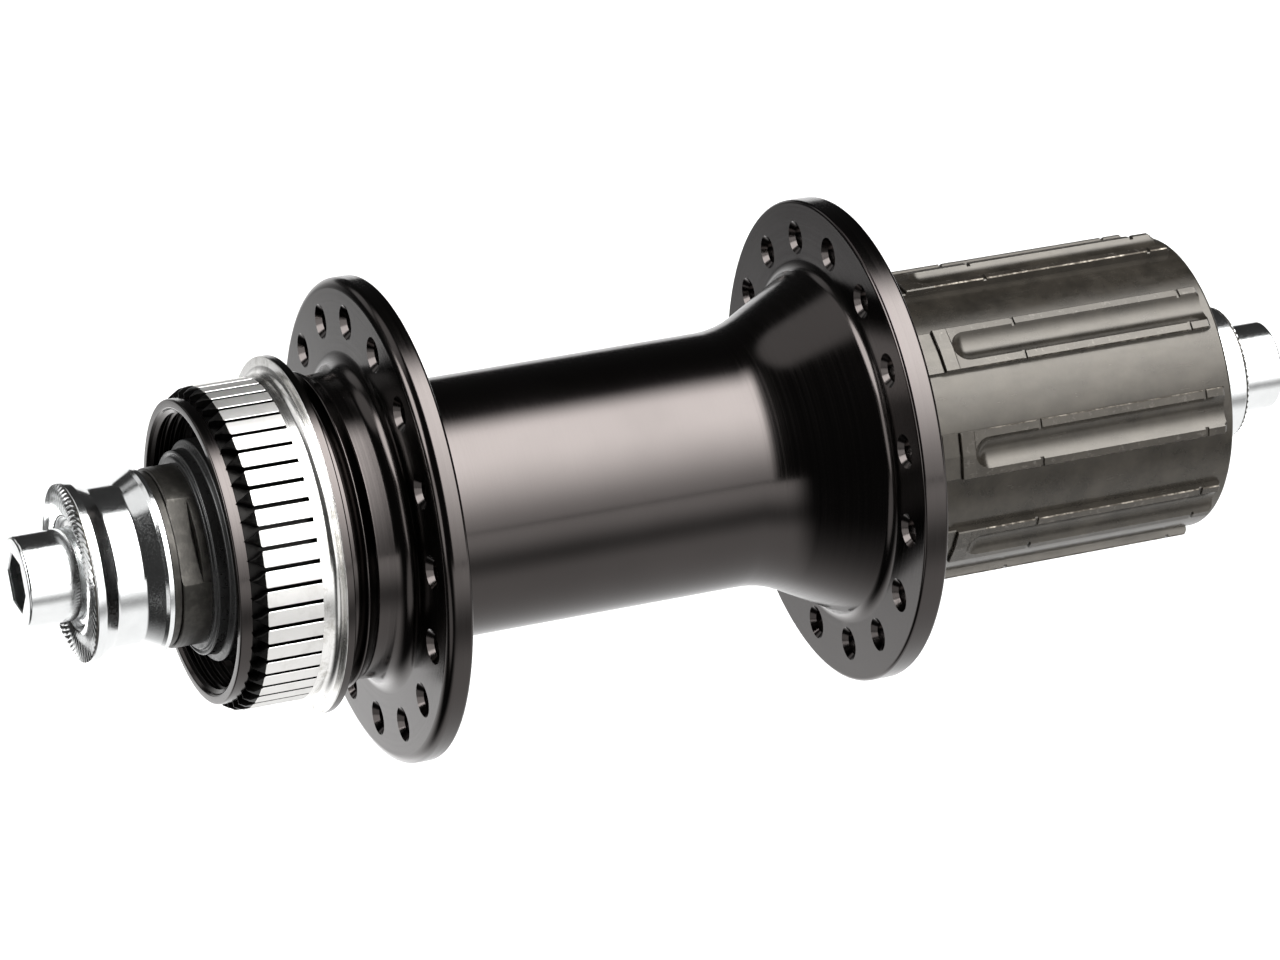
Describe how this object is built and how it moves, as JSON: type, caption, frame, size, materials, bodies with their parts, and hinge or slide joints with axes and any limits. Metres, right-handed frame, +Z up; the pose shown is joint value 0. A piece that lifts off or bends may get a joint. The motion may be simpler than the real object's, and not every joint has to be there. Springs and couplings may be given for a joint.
{
  "type": "rear bicycle hub",
  "caption": "Rear bicycle wheel hub with flanged shell, splined disc-brake seat, quick-release axle, cup-and-cone bearings and splined freewheel body.",
  "frame": {"origin": "on the spin axis, midway between the outer faces of the two lock nuts", "axes": "+Y along the axle towards the brake disc side, +Z up, +X towards the front of the bicycle on its drive side view"},
  "size_m": [0.0534, 0.146, 0.0534],
  "materials": {
    "black_anodised_aluminium": "gloss black anodised, fine turning lines, disc seat turned bright",
    "plated_steel": "bright zinc plating over turned steel",
    "black_oxide_steel": "oiled black oxide over turned steel",
    "phosphated_steel": "dark grey phosphated forging with bright worn rails",
    "bearing_steel": "ground bearing steel",
    "polished_balls": "polished steel balls",
    "black_rubber": "moulded black rubber",
    "pressed_cover": "black coated pressed steel",
    "cage_plastic": "dark moulded nylon"
  },
  "bodies": {
    "axle": {"axle": "plated_steel", "disc_lock_nut": "plated_steel", "disc_lock_washer": "black_oxide_steel", "disc_cone": "black_oxide_steel", "disc_cone_seal": "black_rubber", "drive_lock_nut": "plated_steel", "drive_lock_washer": "black_oxide_steel", "drive_spacer": "plated_steel", "drive_cone": "black_oxide_steel", "drive_cone_seal": "black_rubber"},
    "hub_shell": {"hub_shell": "black_anodised_aluminium", "disc_cup": "bearing_steel", "disc_dust_cover": "pressed_cover", "core_shim": "bearing_steel", "freewheel_core": "bearing_steel", "fixing_bolt": "bearing_steel", "pawl_spring": "bearing_steel", "drive_cup": "bearing_steel", "drive_dust_cover": "pressed_cover"},
    "disc_ball_ring": {"disc_balls": "polished_balls", "disc_ball_cage": "cage_plastic"},
    "drive_ball_ring": {"drive_balls": "polished_balls", "drive_ball_cage": "cage_plastic"},
    "freewheel_body": {"freewheel_body": "phosphated_steel", "freewheel_seal": "black_rubber"},
    "freewheel_inner_ring": {"freewheel_inner_balls": "polished_balls"},
    "freewheel_outer_ring": {"freewheel_outer_balls": "polished_balls"},
    "pawl_1": {"pawl_1": "bearing_steel"},
    "pawl_2": {"pawl_2": "bearing_steel"}
  },
  "joints": [
    {"name": "hub_spin", "type": "hinge", "parent": "axle", "child": "hub_shell", "pos_m": [0, 0, 0], "axis": [0, 1, 0], "continuous": true},
    {"name": "disc_ball_orbit", "type": "hinge", "parent": "axle", "child": "disc_ball_ring", "pos_m": [0, 0, 0], "axis": [0, 1, 0], "continuous": true},
    {"name": "drive_ball_orbit", "type": "hinge", "parent": "axle", "child": "drive_ball_ring", "pos_m": [0, 0, 0], "axis": [0, 1, 0], "continuous": true},
    {"name": "freewheel_spin", "type": "hinge", "parent": "hub_shell", "child": "freewheel_body", "pos_m": [0, 0, 0], "axis": [0, 1, 0], "continuous": true},
    {"name": "freewheel_inner_orbit", "type": "hinge", "parent": "hub_shell", "child": "freewheel_inner_ring", "pos_m": [0, 0, 0], "axis": [0, 1, 0], "continuous": true},
    {"name": "freewheel_outer_orbit", "type": "hinge", "parent": "hub_shell", "child": "freewheel_outer_ring", "pos_m": [0, 0, 0], "axis": [0, 1, 0], "continuous": true},
    {"name": "pawl_1_swing", "type": "hinge", "parent": "hub_shell", "child": "pawl_1", "pos_m": [0.01128, -0.034, 0.0041], "axis": [0, 1, 0], "range_deg": [-10, 0], "stiffness_Nm_per_rad": 0.00006, "springref_deg": 20.05},
    {"name": "pawl_2_swing", "type": "hinge", "parent": "hub_shell", "child": "pawl_2", "pos_m": [-0.01128, -0.034, -0.0041], "axis": [0, 1, 0], "range_deg": [-10, 0], "stiffness_Nm_per_rad": 0.00006, "springref_deg": 20.05}
  ],
  "couplings": [
    {"joint": "disc_ball_orbit", "follows": "hub_spin", "ratio": 0.5626},
    {"joint": "drive_ball_orbit", "follows": "hub_spin", "ratio": 0.5626},
    {"joint": "freewheel_inner_orbit", "follows": "freewheel_spin", "ratio": 0.5428},
    {"joint": "freewheel_outer_orbit", "follows": "freewheel_spin", "ratio": 0.5428}
  ]
}
